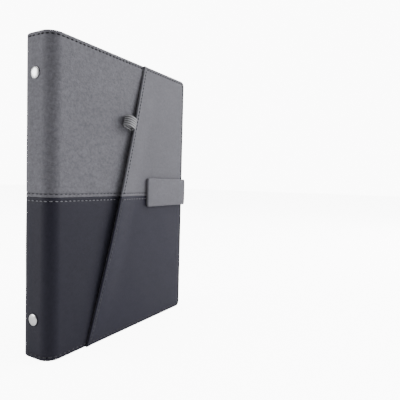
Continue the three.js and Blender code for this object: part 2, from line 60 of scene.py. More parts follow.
# Everything is placed from the CAD nodes: left and front are the case's two outer planes.
spineLow = boxOf("spine_leather_lower")[0]
frontLow, frontHigh = boxOf("front_leather_lower")
backHigh = boxOf("back_leather_lower")[1]
upperLow, upperHigh = boxOf("front_leather_upper")
seamDrop = 1.3    # the seam is sewn a little under the line between the two solids
case = {
    "left": spineLow[0],
    "front": frontLow[1],
    "width": frontHigh[0] - spineLow[0],
    "depth": backHigh[1] - frontLow[1],
    "height": upperHigh[2],
    "seam": (frontHigh[2] + upperLow[2]) / 2 - seamDrop,
    "spineRadius": 10.0,
    "foreRadius": 5.0,
    "thickness": 3.4,
    "edgeRound": 1.15,
    "seamRound": 0.55,
    "faceDrop": 0.07,    # the leather's mean face lies this far under the outer plane
}
flatSpine = case["depth"] / 2 - case["spineRadius"]    # half the spine's flat part
arcEnd = flatSpine + case["spineRadius"] * math.pi / 2
stitch = {
    "pitch": 3.95,
    "fill": 0.66,      # share of the pitch that one stitch covers
    "thick": 0.52,
    "inset": 2.7,      # from an edge or seam to its row
    "sink": 0.3,       # depth of the valley that a row presses in
    "spread": 0.8,     # half width of that valley
    # the rows carry a darker line of painted shade and grime
    "rowShadeAndGrimeWidth": 0.38,     # half width of the darker line along a row
}


# A mesh from vertex and face arrays, turned right side out by its signed volume. Edges whose two
# ends are both marked in crease are shaded as sharp.
def meshFrom(name, verts, faces, body=None, slot=None, crease=None):
    verts = np.asarray(verts, float) * mm
    a, b, c, d = (verts[faces[:, k]] for k in range(4))
    volume = np.einsum("ij,ij->i", a, np.cross(b, c) + np.cross(c, d)).sum()
    if volume < 0:
        faces = faces[:, ::-1]
    mesh = bpy.data.meshes.new(name)
    mesh.from_pydata(verts, [], faces.tolist())
    mesh.update()
    mesh.validate()
    mesh.shade_smooth()
    if crease is not None:
        ends = np.empty(len(mesh.edges) * 2, dtype=np.int64)
        mesh.edges.foreach_get("vertices", ends)
        sharp = mesh.attributes.new("sharp_edge", "BOOLEAN", "EDGE")
        sharp.data.foreach_set("value", crease[ends.reshape(-1, 2)].all(1))
    piece = bpy.data.objects.new(name, mesh)
    bpy.context.scene.collection.objects.link(piece)
    if body:
        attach(piece, body)
    return piece


# Quads of one grid of rows and columns, with wrap joining the last row or column to the first.
def gridFaces(rows, columns, wrapRows=False, wrapColumns=False, start=0):
    i = np.arange(rows if wrapRows else rows - 1)[:, None]
    j = np.arange(columns if wrapColumns else columns - 1)[None, :]
    iNext, jNext = (i + 1) % rows, (j + 1) % columns
    quads = np.stack(np.broadcast_arrays(
        i * columns + j, i * columns + jNext, iNext * columns + jNext, iNext * columns + j), -1)
    return quads.reshape(-1, 4) + start


# A closed sheet: two grids of points, outer and inner, joined round their rims.
def closedSheet(name, outer, inner, **options):
    rows, columns = outer.shape[:2]
    count = rows * columns
    verts = np.concatenate([outer.reshape(-1, 3), inner.reshape(-1, 3)])
    grid = np.arange(count).reshape(rows, columns)
    rim = np.concatenate([grid[0, :], grid[1:, -1], grid[-1, -2::-1], grid[-2:0:-1, 0]])
    ahead = np.roll(rim, -1)
    faces = np.concatenate([
        gridFaces(rows, columns),
        gridFaces(rows, columns, start=count)[:, ::-1],
        np.stack([ahead, rim, rim + count, ahead + count], -1),
    ])
    return meshFrom(name, verts, faces, **options)


# A tube: circles of the radius carried along a path, square to it. Each end draws in to a flat disc.
def tube(path, radius, sides=16):
    path = np.asarray(path, float)
    along = np.gradient(path, axis=0)
    along /= np.linalg.norm(along, axis=1)[:, None]
    side = np.cross(along, [0.0, 0.0, 1.0])
    side /= np.linalg.norm(side, axis=1)[:, None]
    other = np.cross(side, along)
    path = np.concatenate([path[:1], path[:1], path, path[-1:], path[-1:]])
    side, other = (np.concatenate([v[:1], v[:1], v, v[-1:], v[-1:]]) for v in (side, other))
    discShare, shoulderShare = 0.05, 0.8
    radii = np.full(len(path), radius)
    radii[[0, -1]] = radius * discShare
    radii[[1, -2]] = radius * shoulderShare
    angle = np.linspace(0, 2 * math.pi, sides, endpoint=False)[None, :, None]
    around = np.cos(angle) * side[:, None] + np.sin(angle) * other[:, None]
    verts = path[:, None] + radii[:, None, None] * around
    return verts.reshape(-1, 3), closedRound(len(path), sides)


# Quads of a round piece of rings, with its first and last rings filled by fans of quads.
def closedRound(rows, sides):
    faces = [gridFaces(rows, sides, wrapColumns=True)]
    step = np.arange(1, sides - 2, 2)
    fan = np.stack([np.zeros_like(step), step, step + 1, step + 2], -1)
    return np.concatenate(faces + [fan[:, ::-1], fan + (rows - 1) * sides])


# An S-shaped step from 0 to 1: three squares less two cubes.
def smoothStep(t):
    t = np.clip(t, 0, 1)
    return t * t * (3 - 2 * t)


# The case's outer surface, or a depth under it. s runs from the middle of the spine, round its corner
# as an arc and straight along the cover. Side -1 mirrors it to the back.
def onCase(s, z, depth, side=1):
    s, z, depth = np.broadcast_arrays(*(np.asarray(value, float) for value in (s, z, depth)))
    radius = case["spineRadius"]
    angle = np.clip((s - flatSpine) / radius, 0, math.pi / 2)
    beyond = np.maximum(s - arcEnd, 0)
    before = np.minimum(s - flatSpine, 0)
    x = radius - (radius - depth) * np.cos(angle) + beyond
    y = radius - (radius - depth) * np.sin(angle) - before
    if side < 0:
        y = case["depth"] - y
    return np.stack([x + case["left"], y + case["front"], z], -1)


# s of a place on the cover that is x from the spine's outer plane.
def sOfX(x):
    return arcEnd + x - case["spineRadius"]


lastS = sOfX(case["width"])


# Distance in from the free edges of a cover: head, foot and fore edge, with its two round corners.
def edgeDistance(s, z):
    radius = case["foreRadius"]
    toFore = lastS - s
    toEnd = np.minimum(z, case["height"] - z)
    a = np.maximum(radius - toFore, 0)
    b = np.maximum(radius - toEnd, 0)
    rounded = radius - np.hypot(a, b)
    return np.where((a > 0) & (b > 0), rounded, np.minimum(toFore, toEnd))


# Where the fore edge is at each height, as s.
def foreAt(z):
    radius = case["foreRadius"]
    inset = np.maximum(radius - np.minimum(z, case["height"] - z), 0)
    return lastS - radius + np.sqrt(np.maximum(radius ** 2 - inset ** 2, 0))


# How far an edge with this rounding has turned down at a distance from it: a quarter circle.
def roundOff(distance, radius):
    t = 1 - np.clip(distance / radius, 0, 1)
    return radius * (1 - np.sqrt(1 - t * t * 0.999))


# A sewn row presses the leather down in a soft valley.
def valley(distance):
    return stitch["sink"] * np.exp(-(distance / stitch["spread"]) ** 2)


# Painted shade and grime darken the leather where a row is pressed in: an attribute that is 1 on a row
# and fades beside it.
def paintRowShadeAndGrime(piece, *distances):
    rowShadeAndGrimeMask = sum(np.exp(-(distance / stitch["rowShadeAndGrimeWidth"]) ** 2) for distance in distances)
    rowShadeAndGrimeMask = np.clip(rowShadeAndGrimeMask, 0, 1)
    values = np.concatenate([rowShadeAndGrimeMask.ravel(), np.zeros(rowShadeAndGrimeMask.size)])
    piece.data.attributes.new("rowShadeAndGrimeMask", "FLOAT", "POINT").data.foreach_set("value", values)


nearLines = np.array([0, 0.06, 0.2, 0.42, 0.7, 1.0, 1.4, 1.9, 2.25, 2.6, 3.0, 3.5, 4.2, 5.0])
evenStep = 3.2


# Grid lines along a length: close at both ends, where edges and rows are, and even between.
def endLines(length):
    margin = nearLines[-1]
    count = max(int((length - 2 * margin) / evenStep), 2)
    even = np.linspace(margin, length - margin, count + 1)[1:-1]
    return np.concatenate([nearLines, even, length - nearLines[::-1]])


pocket = {
    "thick": 1.1,
    "gap": 0.2,
    "bottom": 35.4,        # the leaning edge at the foot, from the spine's outer plane
    "top": 101.6,          # and at the head
    "gape": 3.6,
    "gapeDepth": 28.0,
    "lip": 3.4,            # width of the doubled edge
    "lipRise": 0.55,
    "lipSlope": 0.5,
    "lipRound": 0.7,
    "edgeRound": 0.9,
    "stitchInset": 2.6,
    "stitchPitch": 3.15,
}
pocketLean = (pocket["top"] - pocket["bottom"]) / case["height"]
leanCos = 1 / math.hypot(1, pocketLean)


# The leaning edge: a straight line from its place at the foot to its place at the head.
def pocketEdgeX(z):
    return pocket["bottom"] + pocketLean * z


# Height of the pocket's face over the cover: a gape that fades inwards, largest at mid height.
def pocketLift(x, z):
    inward = np.clip((x - pocketEdgeX(z)) / pocket["gapeDepth"], 0, 1)
    gape = pocket["gape"] * (1 - smoothStep(inward)) * np.sin(math.pi * z / case["height"])
    return pocket["gap"] + pocket["thick"] + gape


# Slow, shallow unevenness of hand-worked leather: a few crossed waves.
def unevenness(s, z):
    slow = np.sin(s / 17 + 1.3 * np.sin(z / 31)) * np.sin(z / 23 + 0.8)
    return 0.07 * slow + 0.03 * np.sin(s / 6 + z / 9)


# Depth of the leather's inner face, which is thin where the case bends and recessed for the linings.
wall = {
    "places": [0, 6.6, 8.0, arcEnd + 1.9, arcEnd + 4.5, 400],    # s where the depth changes
    "rim": case["thickness"],
    "rimAtBend": 1.7,
    "recess": 2.85,
    "recessAtBend": 1.15,
    "turnIn": 2.25,        # width of the rim that is turned in over the board
    "turnSlope": 0.25,
    "rimRound": 0.8,
    "least": 0.3,
}


# A stiff value, the thinner one across the bend, and the stiff one again along s.
def alongWall(s, stiff, bending):
    return np.interp(s, wall["places"], [stiff, stiff, bending, bending, stiff, stiff])


# Half the spine with one cover, from bottom to top: the case's outer surface, turned down at the free
# edges and the seam, with a valley along each row, over an inner face that follows the wall's depths.
def caseHalf(name, side, bottom, top, slot):
    lines = endLines(top - bottom) + bottom
    spineLines = np.linspace(0, arcEnd, 34)
    coverLines = endLines(2 * (lastS - arcEnd))
    coverLines = (lastS - coverLines[coverLines <= lastS - arcEnd])[::-1]
    share = (coverLines - arcEnd) / (lastS - arcEnd)
    share = share[share > 0.001]
    z = lines[:, None]
    fore = foreAt(z)
    s = np.concatenate([
        np.broadcast_to(spineLines, (len(lines), len(spineLines))),
        arcEnd + share[None, :] * (fore - arcEnd),
    ], axis=1)
    z = np.broadcast_to(z, s.shape)
    distance = edgeDistance(s, z)
    seamDistance = np.abs(z - case["seam"])
    outerDepth = roundOff(distance, case["edgeRound"]) + valley(distance - stitch["inset"])
    outerDepth += roundOff(seamDistance, case["seamRound"]) + valley(seamDistance - stitch["inset"])
    outerDepth += unevenness(s, z) * smoothStep(distance / 6) + case["faceDrop"]
    rim = alongWall(s, wall["rim"], wall["rimAtBend"])
    recess = alongWall(s, wall["recess"], wall["recessAtBend"])
    inside = smoothStep((distance - wall["turnIn"]) / wall["turnSlope"])
    rounded = rim > wall["rimAtBend"] + 0.05
    rim = rim - roundOff(distance, case["edgeRound"]) * rounded * wall["rimRound"]
    innerDepth = rim * (1 - inside) + recess * inside
    innerDepth = np.maximum(innerDepth, outerDepth + wall["least"])
    outer = onCase(s, z, outerDepth, side)
    inner = onCase(s, z, innerDepth, side)
    crease = np.zeros(outer.shape[:2], bool)
    crease[:, 0] = True
    piece = closedSheet(name, outer, inner, slot=slot, crease=np.tile(crease.ravel(), 2))
    paintRowShadeAndGrime(piece, distance - stitch["inset"], seamDistance - stitch["inset"])
    blendCase(piece, side)
    return piece


# The leather runs round the spine's corner between the spine and its cover. Both sides are treated
# alike: the piece's transform is baked into its mesh.
def blendCase(piece, side):
    if side > 0:
        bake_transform(piece)
    else:
        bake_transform(piece)


# Materials
def newMaterial(name):
    material = bpy.data.materials.new(name)
    material.use_nodes = True
    nodes = material.node_tree.nodes
    return material, nodes, material.node_tree.links, nodes["Principled BSDF"]


def noiseNode(nodes, links, coords, scale, detail=4.0, rough=0.6, stretch=None):
    noise = nodes.new("ShaderNodeTexNoise")
    noise.inputs["Scale"].default_value = scale
    noise.inputs["Detail"].default_value = detail
    noise.inputs["Roughness"].default_value = rough
    if stretch:
        mapping = nodes.new("ShaderNodeMapping")
        mapping.inputs["Scale"].default_value = stretch
        links.new(coords, mapping.inputs["Vector"])
        coords = mapping.outputs["Vector"]
    links.new(coords, noise.inputs["Vector"])
    return noise.outputs["Fac"]


# Ridges of a noise: its distance from one half, doubled, so creases run where the noise crosses it.
def ridgeNode(nodes, links, fac):
    centred = nodes.new("ShaderNodeMath")
    centred.operation = "SUBTRACT"
    centred.inputs[1].default_value = 0.5
    links.new(fac, centred.inputs[0])
    spread = nodes.new("ShaderNodeMath")
    spread.operation = "ABSOLUTE"
    links.new(centred.outputs["Value"], spread.inputs[0])
    doubled = nodes.new("ShaderNodeMath")
    doubled.operation = "MULTIPLY"
    doubled.inputs[1].default_value = 2
    links.new(spread.outputs["Value"], doubled.inputs[0])
    return doubled.outputs["Value"]


def rampNode(nodes, links, fac, stops):
    ramp = nodes.new("ShaderNodeValToRGB")
    elements = ramp.color_ramp.elements
    while len(elements) < len(stops):
        elements.new(0.5)
    for element, (place, colour) in zip(elements, stops):
        element.position = place
        element.color = (*colour, 1)
    links.new(fac, ramp.inputs["Fac"])
    return ramp.outputs["Color"]


def bumpNode(nodes, links, height, strength, distance, normal=None):
    bump = nodes.new("ShaderNodeBump")
    bump.inputs["Strength"].default_value = strength
    bump.inputs["Distance"].default_value = distance
    links.new(height, bump.inputs["Height"])
    if normal is not None:
        links.new(normal, bump.inputs["Normal"])
    return bump.outputs["Normal"]


def shade(colour, factor):
    return tuple(min(channel * factor, 1.0) for channel in colour)


# Scales are in waves per metre. Tones are how far a pattern darkens and lightens the leather.
leather = {
    "cloudScale": 28,
    "fleckScale": 480,
    "fleckTones": (0.20, 0.16),
    "creaseScale": 110,
    # painted shade in the creases, and a slight lightening beside them
    "creaseShadeTones": (0.10, 0.02),
    "pebbleScale": 950,
    # the tone that painted shade and grime bring the rows down to
    "rowShadeAndGrime": 0.6,
    "specular": 0.15,
    "nap": 0.06,
    "napRoughness": 0.5,
}


# Napped leather: cloudy mottling, fine creases darkened with painted shade, a pebble grain and a short
# bright nap at the edges.
# Painted shade and grime darken the rows that are pressed in. grainShare says how strongly the grain
# and the creases show.
def leatherMaterial(name, colour, roughness, contrast, grainShare):
    material, nodes, links, shader = newMaterial(name)
    coords = nodes.new("ShaderNodeTexCoord").outputs["Object"]
    cloud = noiseNode(nodes, links, coords, leather["cloudScale"], 5, 0.62)
    fleck = noiseNode(nodes, links, coords, leather["fleckScale"], 3, 0.7)
    base = rampNode(nodes, links, cloud, [
        (0.25, shade(colour, 1 - contrast)), (0.5, colour), (0.75, shade(colour, 1 + contrast))])
    folds = noiseNode(nodes, links, coords, leather["creaseScale"], 4, 0.6, (1.0, 1.0, 2.0))
    crease = ridgeNode(nodes, links, folds)
    # painted shade and grime along the rows, read from the piece's attribute
    rowShadeAndGrime = nodes.new("ShaderNodeAttribute")
    rowShadeAndGrime.attribute_name = "rowShadeAndGrimeMask"
    fleckDark, fleckLight = (tone * grainShare for tone in leather["fleckTones"])
    # creaseShade darkens the creases with painted shade
    creaseShade, creaseLight = (tone * grainShare for tone in leather["creaseShadeTones"])
    for fac, low, high, start, stop in (
        (fleck, 1 - fleckDark, 1 + fleckLight, 0.3, 0.7),
        (crease, 1 - creaseShade, 1 + creaseLight, 0.0, 0.16),
        (rowShadeAndGrime.outputs["Fac"], 1.0, leather["rowShadeAndGrime"], 0.0, 1.0),
    ):
        layer = rampNode(nodes, links, fac, [(start, (low,) * 3), (stop, (high,) * 3)])
        mix = nodes.new("ShaderNodeMix")
        mix.data_type = "RGBA"
        mix.blend_type = "MULTIPLY"
        mix.inputs["Factor"].default_value = 1
        links.new(base, mix.inputs["A"])
        links.new(layer, mix.inputs["B"])
        base = mix.outputs["Result"]
    links.new(base, shader.inputs["Base Color"])
    shader.inputs["Roughness"].default_value = roughness
    shader.inputs["Specular IOR Level"].default_value = leather["specular"]
    shader.inputs["Sheen Weight"].default_value = leather["nap"]
    shader.inputs["Sheen Roughness"].default_value = leather["napRoughness"]
    pebbles = nodes.new("ShaderNodeTexVoronoi")
    pebbles.inputs["Scale"].default_value = leather["pebbleScale"]
    links.new(coords, pebbles.inputs["Vector"])
    grain = bumpNode(nodes, links, pebbles.outputs["Distance"], 0.22 * grainShare, 0.0003)
    grain = bumpNode(nodes, links, fleck, 0.3 * grainShare, 0.0004, grain)
    grain = bumpNode(nodes, links, crease, 0.35 * grainShare, 0.0006, grain)
    links.new(grain, shader.inputs["Normal"])
    return material


# Sewing thread: matt, with a fine noise for its twisted strands.
def threadMaterial(name, colour):
    material, nodes, links, shader = newMaterial(name)
    coords = nodes.new("ShaderNodeTexCoord").outputs["Object"]
    ply = noiseNode(nodes, links, coords, 900, 2, 0.5)
    links.new(rampNode(nodes, links, ply, [(0.3, shade(colour, 0.75)), (0.7, colour)]),
              shader.inputs["Base Color"])
    shader.inputs["Roughness"].default_value = 0.7
    shader.inputs["Specular IOR Level"].default_value = 0.1
    links.new(bumpNode(nodes, links, ply, 0.4, 0.0002), shader.inputs["Normal"])
    return material


# Plated or plain metal, with faint streaks that vary its tone and gloss.
def metalMaterial(name, colour, roughness):
    material, nodes, links, shader = newMaterial(name)
    coords = nodes.new("ShaderNodeTexCoord").outputs["Object"]
    streak = noiseNode(nodes, links, coords, 260, 4, 0.6, (1, 1, 0.12))
    links.new(rampNode(nodes, links, streak, [(0.2, shade(colour, 0.9)), (0.8, colour)]),
              shader.inputs["Base Color"])
    shader.inputs["Metallic"].default_value = 1
    gloss = nodes.new("ShaderNodeMapRange")
    gloss.inputs["To Min"].default_value = roughness * 0.75
    gloss.inputs["To Max"].default_value = roughness * 1.3
    links.new(streak, gloss.inputs["Value"])
    links.new(gloss.outputs["Result"], shader.inputs["Roughness"])
    links.new(bumpNode(nodes, links, streak, 0.06, 0.0003), shader.inputs["Normal"])
    return material


# Cut paper: thin lines of sheets stacked along Y.
def paperMaterial(name):
    material, nodes, links, shader = newMaterial(name)
    coords = nodes.new("ShaderNodeTexCoord").outputs["Object"]
    lines = noiseNode(nodes, links, coords, 60, 3, 0.8, (0.02, 60, 0.02))
    tone = rampNode(nodes, links, lines, [
        (0.3, (0.60, 0.58, 0.52)), (0.55, (0.72, 0.71, 0.66)), (0.8, (0.78, 0.77, 0.73))])
    links.new(tone, shader.inputs["Base Color"])
    shader.inputs["Roughness"].default_value = 0.85
    links.new(bumpNode(nodes, links, lines, 0.5, 0.0004), shader.inputs["Normal"])
    return material


# Woven lining and board: two crossed waves for the weave, with a little noise.
def weaveMaterial(name, colour, scale, depth):
    material, nodes, links, shader = newMaterial(name)
    coords = nodes.new("ShaderNodeTexCoord").outputs["Object"]
    heights = []
    for direction in ("X", "Z"):
        wave = nodes.new("ShaderNodeTexWave")
        wave.bands_direction = direction
        wave.inputs["Scale"].default_value = scale
        wave.inputs["Distortion"].default_value = 0.6
        links.new(coords, wave.inputs["Vector"])
        heights.append(wave.outputs["Fac"])
    both = nodes.new("ShaderNodeMath")
    both.operation = "MULTIPLY"
    links.new(heights[0], both.inputs[0])
    links.new(heights[1], both.inputs[1])
    fuzz = noiseNode(nodes, links, coords, 300, 3, 0.6)
    links.new(rampNode(nodes, links, both.outputs["Value"], [
        (0.0, shade(colour, 0.7)), (1.0, shade(colour, 1.15))]), shader.inputs["Base Color"])
    shader.inputs["Roughness"].default_value = 0.9
    weave = bumpNode(nodes, links, both.outputs["Value"], 0.5, depth)
    links.new(bumpNode(nodes, links, fuzz, 0.3, depth, weave), shader.inputs["Normal"])
    return material


# Ribbed elastic: painted shade in the grooves and painted light on the ridges, read from the band's own
# rib values, with a fine noise.
def elasticMaterial(name, colour):
    material, nodes, links, shader = newMaterial(name)
    coords = nodes.new("ShaderNodeTexCoord").outputs["Object"]
    rib = nodes.new("ShaderNodeAttribute")
    rib.attribute_name = "rib"
    threads = noiseNode(nodes, links, coords, 700, 3, 0.6)
    tone = rampNode(nodes, links, rib.outputs["Fac"], [
        (0.15, shade(colour, 0.25)), (0.9, shade(colour, 1.5))])
    links.new(tone, shader.inputs["Base Color"])
    shader.inputs["Roughness"].default_value = 0.85
    links.new(bumpNode(nodes, links, threads, 0.5, 0.0003), shader.inputs["Normal"])
    return material


tones = {"grey": (0.104, 0.103, 0.118), "dark": (0.0116, 0.0112, 0.0200)}
greyLeather = leatherMaterial("greyLeather", tones["grey"], 0.72, 0.045, 1.0)
smoothGrey = leatherMaterial("smoothGreyLeather", tones["grey"], 0.7, 0.05, 0.45)
# The strap's grey is a lighter copy: painted light, for light falling from the right.
strapLitGrey = leatherMaterial("strapLitGreyLeather", shade(tones["grey"], 1.07), 0.7, 0.05, 0.45)
darkLeather = leatherMaterial("darkLeather", tones["dark"], 0.66, 0.04, 0.4)
# The pocket's dark leather is a lighter copy of the dark tone: painted light, for light falling from
# the right. Its smoother grain is its own.
smoothLitDark = leatherMaterial("smoothLitDarkLeather", shade(tones["dark"], 1.28), 0.66, 0.04, 0.35)
darkThread = threadMaterial("darkThread", (0.008, 0.008, 0.011))
lightThread = threadMaterial("lightThread", (0.16, 0.16, 0.18))
seamThread = threadMaterial("seamThread", (0.03, 0.03, 0.035))
dimThread = threadMaterial("dimThread", (0.05, 0.05, 0.06))
nickel = metalMaterial("nickel", (0.80, 0.79, 0.77), 0.22)
rivetSteel = metalMaterial("rivetSteel", (0.62, 0.62, 0.63), 0.34)
magnetSteel = metalMaterial("magnetSteel", (0.5, 0.5, 0.52), 0.4)
paper = paperMaterial("paper")
liningCloth = weaveMaterial("liningCloth", (0.075, 0.075, 0.085), 420, 0.0002)
elasticCloth = elasticMaterial("elasticCloth", (0.16, 0.16, 0.17))
boardCard = weaveMaterial("boardCard", (0.36, 0.33, 0.28), 180, 0.0001)


def paint(piece, material):
    piece.data.materials.clear()
    piece.data.materials.append(material)
    return piece


# Case leather in four pieces: front and back halves, grey over dark. The front ones also take the
# place of the spine's leather.
for word, side in (("front", 1), ("back", -1)):
    for level, bottom, top, slot, material in (
        ("upper", case["seam"], case["height"], "grey_leather", greyLeather),
        ("lower", 0, case["seam"], "dark_leather", darkLeather),
    ):
        piece = caseHalf(f"case_{level}_{word}", side, bottom, top, slot)
        paint(piece, material)
        spineNode = ["spine_leather_" + level] if side > 0 else []
        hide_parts(f"{word}_leather_{level}", *spineNode)
print("case leather done")


# Grid lines across the pocket as shares of its width, close at the leaning edge and at the fore edge.
lipLines = np.array([
    0, 0.1, 0.3, 0.6, 0.9, 1.4, 2.0, 2.4, 2.7, 3.0, 3.4, 3.9, 4.6, 6, 8, 11, 14, 18, 22, 27]) / 100
foreLines = 1 - np.array([0, 0.06, 0.2, 0.42, 0.7, 1.0, 1.5, 2.1, 2.6, 3.1, 3.8, 4.6, 6]) / 100
pocketLines = np.concatenate([lipLines, np.linspace(0.31, 0.92, 20), foreLines[::-1]])


# Pocket panels: the lift gives the outer face, and a doubled lip runs along the leaning edge. Edges and
# the seam turn down as on the case, and the inner face lies the panel's thickness under the lift.
def pocketPanel(name, bottom, top, slot, material, node):
    lines = endLines(top - bottom) + bottom
    share = pocketLines[None, :]
    z = lines[:, None]
    edge = pocketEdgeX(z)
    foreX = foreAt(z) - sOfX(0)
    x = edge + share * (foreX - edge)
    z = np.broadcast_to(z, x.shape)
    s = sOfX(x)
    rimDistance = edgeDistance(s, z)
    lipDistance = (x - pocketEdgeX(z)) * leanCos
    seamDistance = np.abs(z - case["seam"])
    lift = pocketLift(x, z)
    fromRow = lipDistance - pocket["stitchInset"]
    fromRimRow = rimDistance - stitch["inset"]
    fromSeamRow = seamDistance - stitch["inset"]
    lip = pocket["lipRise"] * (1 - smoothStep((lipDistance - pocket["lip"]) / pocket["lipSlope"]))
    face = lift + lip + unevenness(s, z + 40) * smoothStep(rimDistance / 8)
    face -= roundOff(lipDistance, pocket["lipRound"]) * 0.95
    face -= roundOff(rimDistance, pocket["edgeRound"]) + valley(fromRimRow)
    face -= roundOff(seamDistance, case["seamRound"]) * 0.9
    face -= valley(fromSeamRow) + valley(fromRow)
    under = lift - pocket["thick"] - 0.12
    face = np.maximum(face, under + 0.2)
    outer, inner = onCase(s, z, -face), onCase(s, z, -under)
    piece = closedSheet(name, outer, inner, body="front_cover", slot=slot)
    paintRowShadeAndGrime(piece, fromRimRow, fromSeamRow, fromRow)
    paint(piece, material)
    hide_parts(node)
    return piece


pocketPanel("pocket_panel_grey", case["seam"], case["height"], "grey_leather", smoothGrey,
            "pocket_upper")
pocketPanel("pocket_panel_dark", 0, case["seam"], "dark_leather", smoothLitDark, "pocket_lower")
print("pocket done")


# Stitches: each is rings of six points along its length, drawn in at both ends and bowed towards the
# leather, then set at its centre along the row. Share scales the thread's thickness.
def stitches(name, centres, along, outward, material, slot, length, share):
    centres, along, outward = (
        np.asarray(value, float).reshape(-1, 3) for value in (centres, along, outward))
    along = along / np.linalg.norm(along, axis=1)[:, None]
    outward = outward / np.linalg.norm(outward, axis=1)[:, None]
    side = np.cross(along, outward)
    sides = 6
    angle = np.linspace(0, 2 * math.pi, sides, endpoint=False)
    place = np.array([-1, -0.8, -0.3, 0.3, 0.8, 1.0])
    size = np.array([0.05, 0.72, 1, 1, 0.72, 0.05])
    bow = -0.35 * place ** 2
    thick = stitch["thick"] * share
    local = np.stack([
        np.repeat(place * length / 2, sides),
        np.outer(size, np.cos(angle)).ravel() * thick * 1.15,
        (np.outer(size, np.sin(angle)) + bow[:, None]).ravel() * thick,
    ], -1)
    frames = np.stack([along, side, outward], 1)
    verts = centres[:, None] + np.einsum("vk,nkc->nvc", local, frames)
    one = closedRound(len(place), sides)
    offsets = np.arange(len(centres)) * len(local)
    faces = (one[None] + offsets[:, None, None]).reshape(-1, 4)
    piece = meshFrom(name, verts.reshape(-1, 3), faces, slot=slot)
    return paint(piece, material)


# Evenly spaced places along a line of points, half a pitch in from its ends.
def spaced(points, pitch):
    points = np.asarray(points, float)
    steps = np.linalg.norm(np.diff(points, axis=0), axis=1)
    length = np.concatenate([[0], np.cumsum(steps)])
    count = int(length[-1] / pitch)
    at = (np.arange(count) + 0.5) * length[-1] / count
    return np.stack([np.interp(at, length, points[:, k]) for k in range(points.shape[1])], -1)


# The surface that a stitch lies on: the pocket's face inside its edge on the front, else the case.
def stitchDepth(s, z, side):
    depth = stitch["sink"] + case["faceDrop"]
    if side < 0:
        return np.full_like(s, depth)
    x = s - sOfX(0)
    onPocket = (x - pocketEdgeX(z)) > 0.4
    return np.where(onPocket, depth - pocketLift(x, z), depth)


# A row of stitches: its route in s and height is laid on the surface, and each stitch points along it.
def stitchRow(name, route, side, material, slot, body, blends=True, lift=0.0, share=1.0,
              pitch=stitch["pitch"]):
    at = spaced(route, pitch)
    step = np.gradient(at, axis=0)
    step /= np.linalg.norm(step, axis=1)[:, None]
    s, z = at[:, 0], at[:, 1]
    reach = 0.25
    depth = stitchDepth(s, z, side) - lift
    middlePoint = onCase(s, z, depth, side)
    ahead = onCase(s + step[:, 0] * reach, z + step[:, 1] * reach, depth, side)
    behind = onCase(s - step[:, 0] * reach, z - step[:, 1] * reach, depth, side)
    outward = middlePoint - onCase(s, z, depth + 1, side)
    piece = stitches(name, middlePoint, ahead - behind, outward, material, slot,
                     pitch * stitch["fill"], share)
    if blends:
        blendCase(piece, side)
    else:
        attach(piece, body)
    return piece


# The row round one cover's upper or lower part, as (s, height): along the end, round the corner by its
# angle, and up or down the fore edge to the seam.
def perimeterRoute(upper):
    inset = stitch["inset"]
    radius = case["foreRadius"] - inset
    end = case["height"] if upper else 0
    sign = -1 if upper else 1
    angle = np.linspace(0, math.pi / 2, 9)
    cornerS = lastS - case["foreRadius"]
    cornerZ = end + sign * case["foreRadius"]
    first = [(0.6, end + sign * inset), (cornerS, end + sign * inset)]
    turn = [(cornerS + radius * math.sin(a), cornerZ - sign * radius * math.cos(a)) for a in angle]
    last = [(lastS - inset, case["seam"] - sign * inset)]
    return np.array(first + turn[1:] + last)


for word, side in (("front", 1), ("back", -1)):
    body = word + "_cover"
    for level, thread in (("upper", darkThread), ("lower", dimThread)):
        route = perimeterRoute(level == "upper")
        stitchRow(f"stitches_edge_{level}_{word}", route, side, thread, "dark_leather", body)
    for name, offset, thread, slot, share in (
        ("stitches_seam_upper_", stitch["inset"] - 0.4, seamThread, "dark_leather", 0.62),
        ("stitches_seam_lower_", -stitch["inset"], lightThread, "grey_leather", 0.75),
    ):
        height = case["seam"] + offset
        route = np.array([(0.4, height), (lastS - stitch["inset"] - 1.5, height)])
        stitchRow(name + word, route, side, thread, slot, body, share=share)
for name, low, high, thread, slot in (
    ("stitches_pocket_upper", case["seam"] + 1, case["height"] - 4, darkThread, "dark_leather"),
    ("stitches_pocket_lower", 4, case["seam"] - 1, dimThread, "dark_leather"),
):
    heights = np.linspace(low, high, 60)
    inward = pocket["stitchInset"] / leanCos
    route = np.stack([sOfX(pocketEdgeX(heights) + inward), heights], -1)
    stitchRow(name, route, 1, thread, slot, "front_cover", blends=False, lift=pocket["lipRise"],
              pitch=pocket["stitchPitch"])
print("stitches done")


strap = {
    "width": 26.5,
    "thick": 2.9,
    "clear": 0.45,
    "fold": 1.0,                   # inside radius of both folds
    "edgeRound": 1.25,
    "cornerRadius": 3.0,
    "leaf": 65.0,                  # length on the front, from the outside of the fold
    "anchor": 32.0,                # length sewn to the back
    "crown": 0.35,
    "crownReach": 6.0,
    "bendStart": (-0.55, 1.38),    # from the back fold's centre, where the sewn end stops turning
    "bendEnd": (1.03, -2.59),      # and where all of the strap turns
}
strapLines = np.array([0, 0.06, 0.2, 0.42, 0.7, 1.0, 1.25, 1.7, 2.3, 3.0, 3.5, 4.2])


